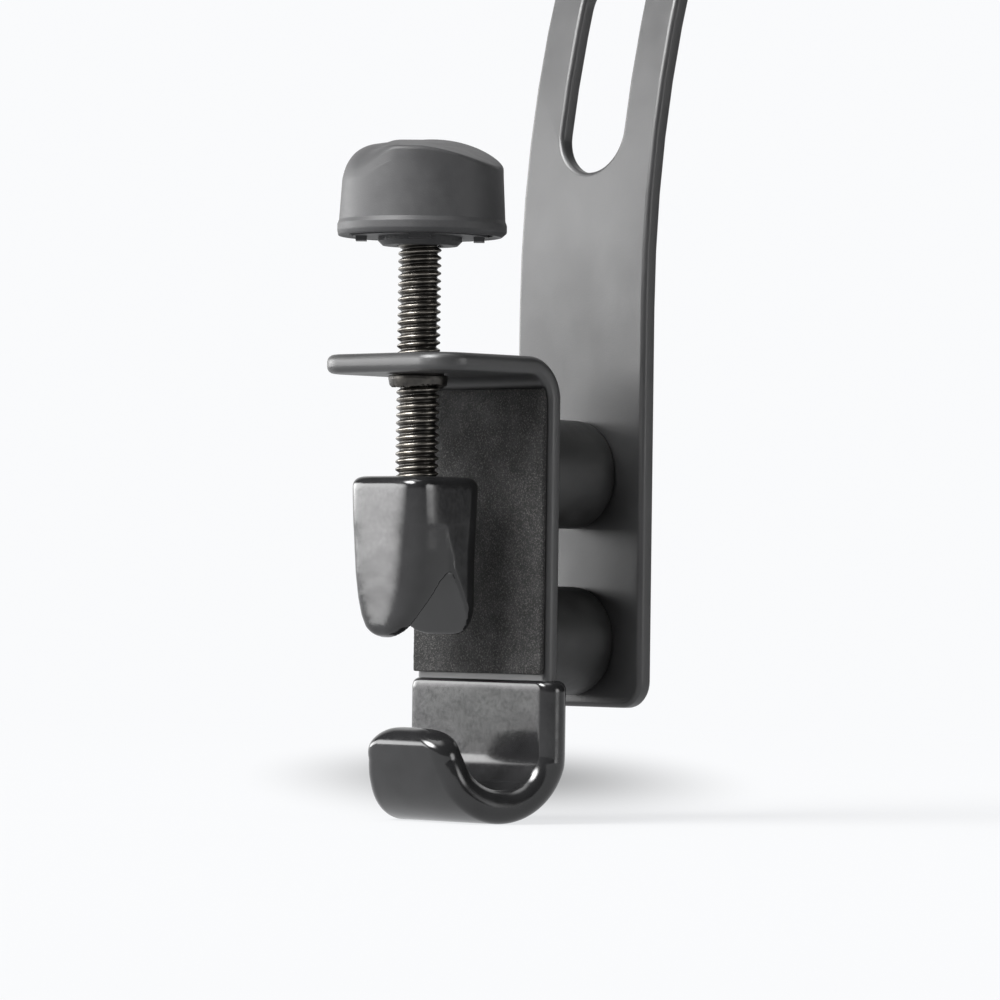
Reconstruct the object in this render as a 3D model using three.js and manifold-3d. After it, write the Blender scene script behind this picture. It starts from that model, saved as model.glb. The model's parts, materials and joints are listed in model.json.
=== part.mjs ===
// Clamp-on headphone hook.
//
// A bent steel strip is the clamp: a plate on top, a padded back and a coated J hook below.
// A threaded spindle with a moulded knob drives a coated V saddle down onto the tube that
// lies in the J hook. Two rubber spacers hold a tall slotted hook plate behind the clamp.
//
// Frame: millimetres, +Z up, the clamp's mouth opens towards -Y, the strip's width runs along X.
// The origin is the centre of a 25 mm tube held in the jaw.

import * as THREE from 'three';
import { mergeVertices } from 'three/addons/utils/BufferGeometryUtils.js';
import Module from 'manifold-3d';

const wasm = await Module();
wasm.setup();

// ---------------------------------------------------------------- driving dimensions
// Heights and depths below are measured from the spindle axis and the top of the clamp.
const STEEL = 3.5;                 // thickness of the strip and of the hook plate
const CLEARANCE = 0.3;             // gap kept where one piece sits inside another

const STRIP_WIDTH = 34;
const TOP_REACH = 10.6;            // top plate ahead of the spindle axis
const TOP_CORNER = 6.5;
const STRIP_BACK = 20.7;           // outer face of the strip, behind the spindle axis
const TOP_BEND = 6.25;             // bend radii are taken on the middle of the steel
const JAW_BEND = 8.85;
const JAW_BEND_HEIGHT = -73;
const JAW_BEND_DEGREES = 162;
const LIP_LENGTH = 6.4;
const LIP_WIDTH = 17;
const LIP_CORNER = 3.5;

const JAW_COATING = { inside: 1, outside: 1.8, edge: 1.6, round: 2.9 }; // dipped PVC
const COATING_TOP = -59.2;

const FOAM_FRONT = 16;
const FOAM_WIDTH = 33.4;
const FOAM_BOTTOM = -58.1;

const THREAD_DIAMETER = 7.94;      // 5/16 in, 18 threads to the inch
const SPINDLE_TOP = 33;
const SHOULDER = -25;
const NECK_DIAMETER = 5.6;
const SPINDLE_END = -37.6;

const SADDLE_COATING = 1.4;
const SADDLE_WIDTH = 19.2;         // along the tube
const SADDLE_FRONT = -9.3;
const SADDLE_BACK = 8.6;
const SADDLE_FRONT_CORNER = 5.2;
const SADDLE_BACK_CORNER = 3.2;
const SADDLE_TOP = -22.3;
const NOTCH_APEX = -39.4;
const NOTCH_APEX_Y = 0.2;
const NOTCH_FRONT_Y = -7.2;        // at the heel's bottom
const NOTCH_REAR_Y = 6.8;
const TONGUE_TIP = -51.7;
const TONGUE_START = -30;
const HEEL_BOTTOM = -51;
const HEEL_CORNER = 5.5;

const KNOB_BOTTOM = 21.6;
const KNOB_CROWN = 39;
const KNOB_DIAMETER = 31.1;
const KNOB_BODY = 15.2;            // radius above the rim
const KNOB_SHIFT = 0.33;           // the body leans this far towards its low side
const KNOB_RIM = 3.3;
const KNOB_CAVITY = 13;

const PLATE_FRONT = 42.5;          // front face of the hook plate
const PLATE_WIDTH = 33;
const PLATE_BOTTOM = -64.4;
const PLATE_CORNER = 5;
const LEAN_START = 10.3;
const LEAN_RADIUS = 218.25;
const LEAN_DEGREES = 17;
const CREST_RADIUS = 24;
const ARM_LENGTH = 24;
const END_RADIUS = 11;
const END_DEGREES = 70;
const END_LENGTH = 6;
const END_CORNER = 9;
const SLOT_WIDTH = 15.7;
const SLOT_BOTTOM = 36.2;
const SLOT_TOP = 76;

const FASTENER_HEIGHTS = { upper: -20.9, lower: -52.1 };
const SPACER_DIAMETER = 20.5;
const SCREW_DIAMETER = 5;
const SCREW_HEAD_DIAMETER = 10;
const SCREW_HEAD_HEIGHT = 2.6;

const TUBE = { y: 3.5, z: -56.6 }; // centre of the clamped tube

const FINE = 48;                   // sides of the larger round pieces
const COARSE = 28;

// ---------------------------------------------------------------- materials
function finish(color, roughness, metalness) {
  return new THREE.MeshStandardMaterial({ color, roughness, metalness });
}

const POWDER_COAT = finish(0x2b2b2c, 0.45, 0.3);
const PVC = finish(0x111112, 0.12, 0);
const FOAM = finish(0x262626, 0.95, 0);
const BLACK_ZINC = finish(0x2a2827, 0.3, 0.9);
const RUBBER = finish(0x2e2d2e, 0.7, 0);
const KNOB_PLASTIC = finish(0x3d3d3f, 0.6, 0);
const STEEL_BARE = finish(0x9a9a9a, 0.35, 1);

// ---------------------------------------------------------------- solids from geometry
function toSolid(geometry) {
  const bare = geometry.index ? geometry : geometry.clone();
  bare.deleteAttribute('normal');
  bare.deleteAttribute('uv');
  const merged = mergeVertices(bare, 1e-4);
  return new wasm.Manifold(new wasm.Mesh({
    numProp: 3,
    vertProperties: new Float32Array(merged.attributes.position.array),
    triVerts: new Uint32Array(merged.index.array),
  }));
}

function toGeometry(solid) {
  const mesh = solid.getMesh();
  const geometry = new THREE.BufferGeometry();
  geometry.setAttribute('position', new THREE.BufferAttribute(mesh.vertProperties, 3));
  geometry.setIndex(new THREE.BufferAttribute(mesh.triVerts, 1));
  return geometry;
}

function cut(geometry, ...tools) {
  let solid = toSolid(geometry);
  for (const tool of tools) solid = solid.subtract(toSolid(tool));
  return toGeometry(solid);
}

function join(...geometries) {
  const solids = geometries.map(toSolid);
  return toGeometry(solids.reduce((sum, solid) => sum.add(solid)));
}

function common(first, second) {
  return toGeometry(toSolid(first).intersect(toSolid(second)));
}

// A profile of [radius, height] pairs turned about Z.
function turned(profile, sides = COARSE) {
  const points = profile.map(([radius, height]) => new THREE.Vector2(radius, height));
  return new THREE.LatheGeometry(points, sides).rotateX(Math.PI / 2);
}

// The same profile turned about an axis along Y, at a height above the origin.
function turnedAlongY(profile, height, sides = COARSE) {
  return turned(profile, sides).rotateX(-Math.PI / 2).translate(0, 0, height);
}

// An outline of [x, z] points, extruded along Y from one depth to another.
function slabAlongY(shape, from, to, curveSegments = 12) {
  const geometry = new THREE.ExtrudeGeometry(shape, {
    depth: to - from, bevelEnabled: false, curveSegments,
  });
  return geometry.rotateX(Math.PI / 2).translate(0, to, 0);
}

// An outline of [y, z] points, extruded along X, centred on X = 0.
function slabAlongX(shape, width, curveSegments = 12) {
  const geometry = new THREE.ExtrudeGeometry(shape, {
    depth: width, bevelEnabled: false, curveSegments,
  });
  return geometry.translate(0, 0, -width / 2).rotateY(Math.PI / 2).rotateX(Math.PI / 2);
}

// ---------------------------------------------------------------- bent strips
// A path in the YZ plane, walked from a start point: each step is a straight or a bend.
// Headings are in degrees from +Y; a positive bend turns clockwise, seen from +X.
function walk(start, heading, steps) {
  const degree = Math.PI / 180;
  const stations = [];
  let [y, z] = start;
  let angle = heading * degree;
  let travelled = 0;
  const mark = () => stations.push({ y, z, angle, travelled });
  const advance = (length) => {
    y += Math.cos(angle) * length;
    z += Math.sin(angle) * length;
    travelled += length;
  };
  mark();
  for (const { straight, radius, bend, parts = 1 } of steps) {
    if (straight) {
      for (let part = 0; part < parts; part += 1) {
        advance(straight / parts);
        mark();
      }
    } else {
      const turn = bend * degree / parts;
      for (let part = 0; part < parts; part += 1) {
        angle -= turn / 2;
        advance(2 * radius * Math.sin(Math.abs(turn) / 2));
        angle -= turn / 2;
        mark();
      }
    }
  }
  return stations;
}

// The station at a given travelled length, between the marked ones.
function stationAt(stations, length) {
  const last = stations.length - 1;
  let index = stations.findIndex((station) => station.travelled > length);
  if (index < 1) index = length <= 0 ? 1 : last;
  const [before, after] = [stations[index - 1], stations[index]];
  const share = (length - before.travelled) / (after.travelled - before.travelled);
  const mix = (name) => before[name] + (after[name] - before[name]) * share;
  return { y: mix('y'), z: mix('z'), angle: mix('angle'), travelled: length };
}

// A strip swept along the stations. Its cross-section is a rectangle, from a distance inside
// the stations to one outside them, and its corners may be round.
function sweptStrip(stations, halfWidthAt, inside, outside, round = 0, parts = 3) {
  const section = (half) => {
    if (!round) return [[half, outside], [-half, outside], [-half, -inside], [half, -inside]];
    const ring = [];
    const corners = [[1, outside - round], [-1, outside - round], [-1, round - inside], [1, round - inside]];
    corners.forEach(([side, level], quarter) => {
      for (let k = 0; k <= parts; k += 1) {
        const a = Math.PI / 2 * (quarter + k / parts);
        ring.push([side * (half - round) + round * Math.cos(a), level + round * Math.sin(a)]);
      }
    });
    return ring;
  };
  const rings = stations.map((station) => {
    const normal = [-Math.sin(station.angle), Math.cos(station.angle)];
    return section(halfWidthAt(station.travelled)).map(([x, n]) => [
      x, station.y + normal[0] * n, station.z + normal[1] * n,
    ]);
  });
  const count = rings[0].length;
  const index = [];
  for (let r = 0; r + 1 < rings.length; r += 1) {
    for (let k = 0; k < count; k += 1) {
      const a = r * count + k;
      const b = r * count + (k + 1) % count;
      index.push(a, a + count, b, b, a + count, b + count);
    }
  }
  const lastRing = (rings.length - 1) * count;
  for (let k = 1; k + 1 < count; k += 1) {
    index.push(0, k, k + 1);
    index.push(lastRing, lastRing + k + 1, lastRing + k);
  }
  const geometry = new THREE.BufferGeometry();
  geometry.setAttribute('position', new THREE.Float32BufferAttribute(rings.flat(2), 3));
  geometry.setIndex(index);
  return geometry;
}

// Stations of a strip from one travelled length to another, closer together at a round corner.
function trimmed(stations, from, to, startCorner = 0, endCorner = 0, cornerParts = 6) {
  const lengths = stations.map((station) => station.travelled);
  const kept = lengths.filter((length) => (
    length > from + startCorner + 0.2 && length < to - endCorner - 0.2
  ));
  const corner = (radius) => {
    const parts = [];
    for (let k = 0; k <= cornerParts; k += 1) {
      parts.push(radius * (1 - Math.cos(Math.PI / 2 * k / cornerParts)));
    }
    return radius ? parts : [0];
  };
  const all = [
    ...corner(startCorner).map((d) => from + d),
    ...kept,
    ...corner(endCorner).map((d) => to - d).reverse(),
  ];
  return all.map((length) => stationAt(stations, length));
}

// How far a round corner has drawn the edge in, at a distance from the strip's end.
function cornerInset(distance, radius) {
  if (distance >= radius) return 0;
  const run = radius - Math.max(distance, 0);
  return radius - Math.sqrt(radius * radius - run * run);
}

// ---------------------------------------------------------------- the clamp strip
const topStraight = TOP_REACH + STRIP_BACK - STEEL / 2 - TOP_BEND;
const downStraight = -JAW_BEND_HEIGHT - STEEL / 2 - TOP_BEND;
const clampPath = walk([-TOP_REACH, -STEEL / 2], 0, [
  { straight: topStraight },
  { radius: TOP_BEND, bend: 90, parts: 10 },
  { straight: downStraight, parts: 4 },
  { radius: JAW_BEND, bend: JAW_BEND_DEGREES, parts: 22 },
  { straight: LIP_LENGTH, parts: 2 },
]);
const clampLength = clampPath.at(-1).travelled;
const jawStart = clampPath[15].travelled;

// The strip keeps its full width down to the J bend, then narrows steadily to the lip.
const TAPER_DELAY = 1.5;
const TAPER_LENGTH = 23.2;
function clampHalfWidth(travelled) {
  const part = THREE.MathUtils.clamp((travelled - jawStart - TAPER_DELAY) / TAPER_LENGTH, 0, 1);
  const share = part ** 1.25;
  const half = THREE.MathUtils.lerp(STRIP_WIDTH, LIP_WIDTH, share) / 2;
  return half - cornerInset(travelled, TOP_CORNER) - cornerInset(clampLength - travelled, LIP_CORNER);
}

const strip = sweptStrip(
  trimmed(clampPath, 0, clampLength, TOP_CORNER, LIP_CORNER), clampHalfWidth, STEEL / 2, STEEL / 2,
);

const BUSH_HOLE = 9.8;
const bushHole = turned([[0, -STEEL - 1], [BUSH_HOLE / 2, -STEEL - 1], [BUSH_HOLE / 2, 1], [0, 1]]);

// The profile of a countersunk hole from the strip's inner face, with room around the screw.
const stripInner = STRIP_BACK - STEEL;
const headRadius = SCREW_HEAD_DIAMETER / 2;
const shankRadius = SCREW_DIAMETER / 2;
function countersink(room) {
  return [
    [0, stripInner - 1],
    [headRadius + room, stripInner - 1],
    [headRadius + room, stripInner + 0.5],
    [shankRadius + room, stripInner + 0.5 + SCREW_HEAD_HEIGHT],
    [shankRadius + room, STRIP_BACK + 1],
    [0, STRIP_BACK + 1],
  ];
}
const heights = Object.values(FASTENER_HEIGHTS);
const clampBracket = cut(
  strip, bushHole, ...heights.map((height) => turnedAlongY(countersink(CLEARANCE), height)),
);

// ---------------------------------------------------------------- pieces on the strip
// A flanged bush pressed into the top plate from below; the spindle runs through it.
const bushBore = THREAD_DIAMETER / 2 + CLEARANCE;
const threadBush = turned([
  [bushBore, -6.1], [5, -6.1], [5.45, -5.7], [5.45, -3.8], [4.75, -3.8], [4.75, -0.2],
  [bushBore, -0.2], [bushBore, -6.1],
]);

// The coating is a sock over the J hook: open at the top, closed over the lip, and cut back
// around the lower spacer.
const verticalTop = clampPath[11].travelled;
const coatingStart = verticalTop + (-TOP_BEND - STEEL / 2 - COATING_TOP);
function coatedHalfWidth(room) {
  return (travelled) => {
    const end = clampLength + room;
    const half = clampHalfWidth(Math.min(travelled, clampLength - LIP_CORNER));
    return half + room - cornerInset(end - travelled, LIP_CORNER + room);
  };
}
function sock({ inside, outside, edge, round }, from) {
  const end = clampLength + edge;
  const stations = trimmed(clampPath, from, end, 0, LIP_CORNER + edge);
  return sweptStrip(stations, coatedHalfWidth(edge), STEEL / 2 + inside, STEEL / 2 + outside, round);
}
const sockRoom = { inside: CLEARANCE, outside: CLEARANCE, edge: CLEARANCE, round: 0 };
const spacerRelief = turnedAlongY([
  [0, STRIP_BACK], [SPACER_DIAMETER / 2 + CLEARANCE, STRIP_BACK],
  [SPACER_DIAMETER / 2 + CLEARANCE, STRIP_BACK + 5], [0, STRIP_BACK + 5],
], FASTENER_HEIGHTS.lower, FINE);
const jawCoating = cut(
  sock(JAW_COATING, coatingStart), sock(sockRoom, coatingStart - 2), spacerRelief,
);

// The foam's back follows the strip and the start of its top bend.
const foamGap = 0.1;
const bendCentre = [STRIP_BACK - STEEL / 2 - TOP_BEND, -TOP_BEND - STEEL / 2];
const foamBend = TOP_BEND - STEEL / 2 - CLEARANCE;
const foamStop = Math.acos((FOAM_FRONT + 0.2 - bendCentre[0]) / foamBend);
const foamShape = new THREE.Shape();
foamShape.moveTo(FOAM_FRONT, FOAM_BOTTOM);
foamShape.lineTo(stripInner - foamGap, FOAM_BOTTOM);
foamShape.lineTo(stripInner - foamGap, bendCentre[1] - 1);
foamShape.absarc(bendCentre[0], bendCentre[1], foamBend, 0, foamStop, false);
foamShape.lineTo(FOAM_FRONT, bendCentre[1] + foamBend * Math.sin(foamStop));
foamShape.closePath();
const foamPad = slabAlongX(foamShape, FOAM_WIDTH, 6);

// ---------------------------------------------------------------- the hook plate
const plateMiddle = PLATE_FRONT + STEEL / 2;
const platePath = walk([plateMiddle, PLATE_BOTTOM], 90, [
  { straight: LEAN_START - PLATE_BOTTOM, parts: 3 },
  { radius: LEAN_RADIUS, bend: LEAN_DEGREES, parts: 10 },
  { radius: CREST_RADIUS, bend: 90 - LEAN_DEGREES, parts: 12 },
  { straight: ARM_LENGTH, parts: 2 },
  { radius: END_RADIUS, bend: -END_DEGREES, parts: 10 },
  { straight: END_LENGTH, parts: 2 },
]);
const plateLength = platePath.at(-1).travelled;
function plateHalfWidth(travelled) {
  const bottom = cornerInset(travelled, PLATE_CORNER);
  const end = cornerInset(plateLength - travelled, END_CORNER);
  return PLATE_WIDTH / 2 - bottom - end;
}
const plateBlank = sweptStrip(
  trimmed(platePath, 0, plateLength, PLATE_CORNER, END_CORNER), plateHalfWidth, STEEL / 2, STEEL / 2,
);
const slotRadius = SLOT_WIDTH / 2;
const slotShape = new THREE.Shape();
slotShape.absarc(0, SLOT_TOP - slotRadius, slotRadius, 0, Math.PI, false);
slotShape.absarc(0, SLOT_BOTTOM + slotRadius, slotRadius, Math.PI, 2 * Math.PI, false);
slotShape.closePath();
const slot = slabAlongY(slotShape, PLATE_FRONT - 5, PLATE_FRONT + 25, 16);
const plateHole = (height) => {
  const radius = shankRadius + CLEARANCE;
  const near = PLATE_FRONT - 1;
  const far = PLATE_FRONT + STEEL + 1;
  return turnedAlongY([[0, near], [radius, near], [radius, far], [0, far]], height);
};
const hookPlate = cut(plateBlank, slot, ...heights.map(plateHole));

// ---------------------------------------------------------------- spacers and fasteners
const spacerStart = STRIP_BACK + 0.1;
const spacerEnd = PLATE_FRONT - 0.1;
const sleeveRadius = 4;
function spacer(height) {
  const outer = SPACER_DIAMETER / 2;
  const bore = sleeveRadius + CLEARANCE;
  const chamfer = 0.8;
  return turnedAlongY([
    [bore, spacerStart], [outer - chamfer, spacerStart], [outer, spacerStart + chamfer],
    [outer, spacerEnd - chamfer], [outer - chamfer, spacerEnd], [bore, spacerEnd],
    [bore, spacerStart],
  ], height, FINE);
}

function sleeve(height) {
  const bore = shankRadius + CLEARANCE;
  return turnedAlongY([
    [bore, spacerStart], [sleeveRadius, spacerStart], [sleeveRadius, spacerEnd],
    [bore, spacerEnd], [bore, spacerStart],
  ], height);
}

const plateBack = PLATE_FRONT + STEEL;
const washerStart = plateBack + 0.1;
const washerEnd = washerStart + 1;
const nutStart = washerEnd + 0.1;
const nutHexEnd = nutStart + 4.5;
const nutEnd = nutHexEnd + 3.5;
const screwEnd = nutHexEnd + 1;

function screw(height) {
  return turnedAlongY([
    [0, stripInner + 0.2], [headRadius, stripInner + 0.2], [headRadius, stripInner + 0.5],
    [shankRadius, stripInner + 0.5 + SCREW_HEAD_HEIGHT], [shankRadius, screwEnd - 0.5],
    [shankRadius - 0.5, screwEnd], [0, screwEnd],
  ], height);
}

function washer(height) {
  const bore = shankRadius + CLEARANCE;
  return turnedAlongY([
    [bore, washerStart], [5, washerStart], [5, washerEnd], [bore, washerEnd], [bore, washerStart],
  ], height);
}

// A cap nut: a hexagon 8 mm across flats with a dome over the screw's end.
function capNut(height) {
  const corner = 8 / Math.sqrt(3);
  const hexagon = turnedAlongY(
    [[0, nutStart], [corner, nutStart], [corner, nutHexEnd], [0, nutHexEnd]], height, 6,
  );
  const domeRadius = 3.7;
  const dome = [[0, nutStart + 1], [domeRadius, nutStart + 1]];
  for (let k = 0; k <= 6; k += 1) {
    const a = Math.PI / 2 * k / 6;
    dome.push([domeRadius * Math.cos(a), nutHexEnd + (nutEnd - nutHexEnd) * Math.sin(a)]);
  }
  dome[dome.length - 1][0] = 0;
  const bore = shankRadius + CLEARANCE;
  const boreEnd = screwEnd + CLEARANCE;
  const hole = [[0, nutStart - 1], [bore, nutStart - 1], [bore, boreEnd], [0, boreEnd]];
  return cut(join(hexagon, turnedAlongY(dome, height)), turnedAlongY(hole, height));
}

// ---------------------------------------------------------------- the saddle
// An inverted V block: a tapered tongue in front, a broader heel behind.
// The outer surface is shrunk by an inset to give the core and the coating's inside.
function saddleBlock(inset) {
  const top = SADDLE_TOP - inset;
  const half = SADDLE_WIDTH / 2 - inset;
  const near = SADDLE_FRONT + inset;
  const far = SADDLE_BACK - inset;
  const front = SADDLE_FRONT_CORNER - inset;
  const back = SADDLE_BACK_CORNER - inset;
  const bottom = TONGUE_TIP - 2;

  const plan = new THREE.Shape();
  plan.moveTo(-half + front, near);
  plan.absarc(half - front, near + front, front, -Math.PI / 2, 0, false);
  plan.absarc(half - back, far - back, back, 0, Math.PI / 2, false);
  plan.absarc(-half + back, far - back, back, Math.PI / 2, Math.PI, false);
  plan.absarc(-half + front, near + front, front, Math.PI, 1.5 * Math.PI, false);
  const column = new THREE.ExtrudeGeometry(plan, {
    depth: top - bottom, bevelEnabled: false, curveSegments: 5,
  }).translate(0, 0, bottom);

  const notch = new THREE.Shape();
  const apex = NOTCH_APEX + inset;
  const foot = bottom - 2;
  const spread = (foot - apex) / (HEEL_BOTTOM - apex);
  const notchFront = NOTCH_APEX_Y + (NOTCH_FRONT_Y - inset - NOTCH_APEX_Y) * spread;
  const notchBack = NOTCH_APEX_Y + (NOTCH_REAR_Y + inset - NOTCH_APEX_Y) * spread;
  const round = 1.4 + inset * 0.6;
  notch.moveTo(notchFront, foot);
  notch.lineTo(NOTCH_APEX_Y - round, apex - round * 1.3);
  notch.quadraticCurveTo(NOTCH_APEX_Y - round * 0.5, apex, NOTCH_APEX_Y, apex);
  notch.quadraticCurveTo(NOTCH_APEX_Y + round * 0.5, apex, NOTCH_APEX_Y + round, apex - round * 1.3);
  notch.lineTo(notchBack, foot);
  notch.closePath();

  // The tongue's half width shrinks from its start to its tip along a flattened ellipse.
  const tip = TONGUE_TIP + inset;
  const side = [];
  for (let k = 0; k <= 12; k += 1) {
    const a = Math.PI / 2 * k / 12;
    side.push([half * Math.cos(a), TONGUE_START - (TONGUE_START - tip) * Math.sin(a)]);
  }
  const tongue = new THREE.Shape();
  tongue.moveTo(half + 1, SADDLE_TOP + 1);
  tongue.lineTo(-half - 1, SADDLE_TOP + 1);
  tongue.lineTo(-half - 1, TONGUE_START);
  side.forEach(([x, z]) => tongue.lineTo(-x, z));
  side.slice(0, -1).reverse().forEach(([x, z]) => tongue.lineTo(x, z));
  tongue.lineTo(half + 1, TONGUE_START);
  tongue.closePath();

  const heelBottom = HEEL_BOTTOM + inset;
  const heelCorner = HEEL_CORNER - inset;
  const heel = new THREE.Shape();
  heel.moveTo(half + 1, SADDLE_TOP + 1);
  heel.lineTo(-half - 1, SADDLE_TOP + 1);
  heel.lineTo(-half - 1, heelBottom + heelCorner);
  heel.lineTo(-half, heelBottom + heelCorner);
  heel.absarc(-half + heelCorner, heelBottom + heelCorner, heelCorner, Math.PI, 1.5 * Math.PI, false);
  heel.absarc(half - heelCorner, heelBottom + heelCorner, heelCorner, 1.5 * Math.PI, 2 * Math.PI, false);
  heel.lineTo(half + 1, heelBottom + heelCorner);
  heel.closePath();

  const legs = join(
    slabAlongY(tongue, -20, NOTCH_APEX_Y + 0.01, 10), slabAlongY(heel, NOTCH_APEX_Y, 20, 10),
  );
  return cut(common(column, legs), slabAlongX(notch, SADDLE_WIDTH + 4, 5));
}

const shoulderRoom = THREAD_DIAMETER / 2 + CLEARANCE;
const neckRoom = NECK_DIAMETER / 2 + CLEARANCE;
const washerSeat = SHOULDER - 1.2;
const ringSeat = -35.6;
const saddleBore = turned([
  [0, ringSeat - 8], [4.4, ringSeat - 8], [4.4, ringSeat], [neckRoom, ringSeat],
  [neckRoom, washerSeat], [shoulderRoom, washerSeat], [shoulderRoom, SADDLE_TOP + 2],
  [0, SADDLE_TOP + 2],
]);
const saddleCore = cut(saddleBlock(SADDLE_COATING), saddleBore);
const saddleOpening = turned([
  [0, SADDLE_TOP - 5], [shoulderRoom + 0.2, SADDLE_TOP - 5], [shoulderRoom + 0.2, SADDLE_TOP + 1],
  [0, SADDLE_TOP + 1],
]);
const saddleCoating = cut(saddleBlock(0), saddleBlock(SADDLE_COATING - CLEARANCE), saddleOpening);

// ---------------------------------------------------------------- spindle and knob
const ringGroove = ringSeat - 0.2;
const spindle = turned([
  [0, SPINDLE_END], [NECK_DIAMETER / 2 - 0.4, SPINDLE_END], [NECK_DIAMETER / 2, SPINDLE_END + 0.4],
  [NECK_DIAMETER / 2, ringGroove - 1.1], [NECK_DIAMETER / 2 - 0.6, ringGroove - 1.1],
  [NECK_DIAMETER / 2 - 0.6, ringGroove], [NECK_DIAMETER / 2, ringGroove],
  [NECK_DIAMETER / 2, SHOULDER], [THREAD_DIAMETER / 2, SHOULDER],
  [THREAD_DIAMETER / 2, SPINDLE_TOP - 0.8], [THREAD_DIAMETER / 2 - 0.8, SPINDLE_TOP],
  [0, SPINDLE_TOP],
]);
const ringBore = NECK_DIAMETER / 2 - 0.6 + CLEARANCE;
const retainingRing = turned([
  [ringBore, ringGroove - 0.95], [4.1, ringGroove - 0.95], [4.1, ringGroove - 0.15],
  [ringBore, ringGroove - 0.15], [ringBore, ringGroove - 0.95],
]);
const thrustWasher = turned([
  [neckRoom, SHOULDER - 1], [shoulderRoom - CLEARANCE, SHOULDER - 1],
  [shoulderRoom - CLEARANCE, SHOULDER - 0.2], [neckRoom, SHOULDER - 0.2],
  [neckRoom, SHOULDER - 1],
]);

// The knob's crown is highest at its back and slopes down towards +X +Y, steepest in front.
// Its shoulder is a dome on the high side, and a narrow round everywhere else.
const knobRadius = KNOB_DIAMETER / 2;
const rimTop = KNOB_BOTTOM + KNOB_RIM;
function crownHeight(along, across) {
  const low = Math.max(along, 0);
  return KNOB_CROWN - (0.118 + 0.006 * low) * across - 0.0185 * low * low;
}
function shapedKnob(domed, narrow) {
  const geometry = turned(domed, FINE);
  const position = geometry.attributes.position;
  const edge = turned(narrow, FINE).attributes.position;
  const point = new THREE.Vector3();
  const other = new THREE.Vector3();
  for (let k = 0; k < position.count; k += 1) {
    point.fromBufferAttribute(position, k);
    other.fromBufferAttribute(edge, k);
    const reach = Math.hypot(other.x, other.y) || 1;
    const facing = (other.x + other.y) * Math.SQRT1_2 / reach;
    point.lerp(other, THREE.MathUtils.smoothstep(facing, -0.75, -0.1));
    const shift = KNOB_SHIFT * Math.SQRT1_2 * THREE.MathUtils.smoothstep(point.z, KNOB_BOTTOM, rimTop);
    point.x += shift;
    point.y += shift;
    const along = (point.x + point.y) * Math.SQRT1_2;
    const across = (point.x - point.y) * Math.SQRT1_2;
    const rise = THREE.MathUtils.clamp((point.z - rimTop) / (KNOB_CROWN - rimTop), 0, 1);
    point.z += rise * (crownHeight(along, across) - KNOB_CROWN);
    position.setXYZ(k, point.x, point.y, point.z);
  }
  return geometry;
}
const knobRim = [
  [KNOB_CAVITY, KNOB_BOTTOM + 0.4], [knobRadius - 1, KNOB_BOTTOM], [knobRadius - 0.2, KNOB_BOTTOM + 0.8],
  [knobRadius, rimTop - 0.5], [knobRadius - 0.1, rimTop - 0.1], [KNOB_BODY, rimTop + 0.2],
];
const knobShell = shapedKnob([
  [0, 36.6], [6, 36.5], [9.2, 35.8], [11.2, 34.4], [12.4, 32.2], [KNOB_CAVITY, rimTop - 1],
  ...knobRim,
  [14.7, 32.5], [14.1, 34.6], [12.6, 36.9], [10.2, 38.3], [6.5, 38.95], [0, KNOB_CROWN],
], [
  [0, 36.6], [6, 36.6], [11.2, 36.4], [12.4, 35.9], [12.8, 35], [KNOB_CAVITY, rimTop - 1],
  ...knobRim,
  [14.9, 36.8], [14.75, 38], [14.2, 38.7], [12.6, 39], [6.5, 39], [0, KNOB_CROWN],
]);

// The base closes the knob from below, with a hub around the spindle and four snap tabs.
const hubRadius = 7.7;
const hubBottom = 20;
const baseRadius = KNOB_CAVITY - 2 * CLEARANCE;
const boreRadius = THREAD_DIAMETER / 2 + CLEARANCE;
const insertRadius = 6.5;
const basePlate = turned([
  [boreRadius, hubBottom], [hubRadius - 0.8, hubBottom], [hubRadius, hubBottom + 0.8],
  [hubRadius, KNOB_BOTTOM], [baseRadius, KNOB_BOTTOM], [baseRadius, KNOB_BOTTOM + 1.8],
  [insertRadius + 2, KNOB_BOTTOM + 1.8], [insertRadius + 2, KNOB_BOTTOM + 8],
  [insertRadius + CLEARANCE, KNOB_BOTTOM + 8], [insertRadius + CLEARANCE, KNOB_BOTTOM + 1.8],
  [boreRadius, KNOB_BOTTOM + 1.8], [boreRadius, hubBottom],
], FINE);
const tabs = [];
for (let k = 0; k < 4; k += 1) {
  const tab = new THREE.BoxGeometry(2, 4, 1.6);
  tab.translate(baseRadius - 1.6, 0, KNOB_BOTTOM).rotateZ(Math.PI / 4 + k * Math.PI / 2);
  tabs.push(tab);
}
const knobBase = join(basePlate, ...tabs);

// A hexagonal steel insert, fixed on the spindle's top and held in the base's socket.
const insertHexagon = turned([
  [0, KNOB_BOTTOM + 2.1], [insertRadius, KNOB_BOTTOM + 2.1], [insertRadius, KNOB_BOTTOM + 8.6],
  [0, KNOB_BOTTOM + 8.6],
], 6);
const insertBore = turned([
  [0, KNOB_BOTTOM], [boreRadius, KNOB_BOTTOM], [boreRadius, KNOB_CROWN], [0, KNOB_CROWN],
]);
const knobInsert = cut(insertHexagon, insertBore);

// ---------------------------------------------------------------- assembly
const group = new THREE.Group();
function add(name, geometry, material) {
  const mesh = new THREE.Mesh(geometry, material.clone());
  mesh.name = name;
  group.add(mesh);
}

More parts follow.
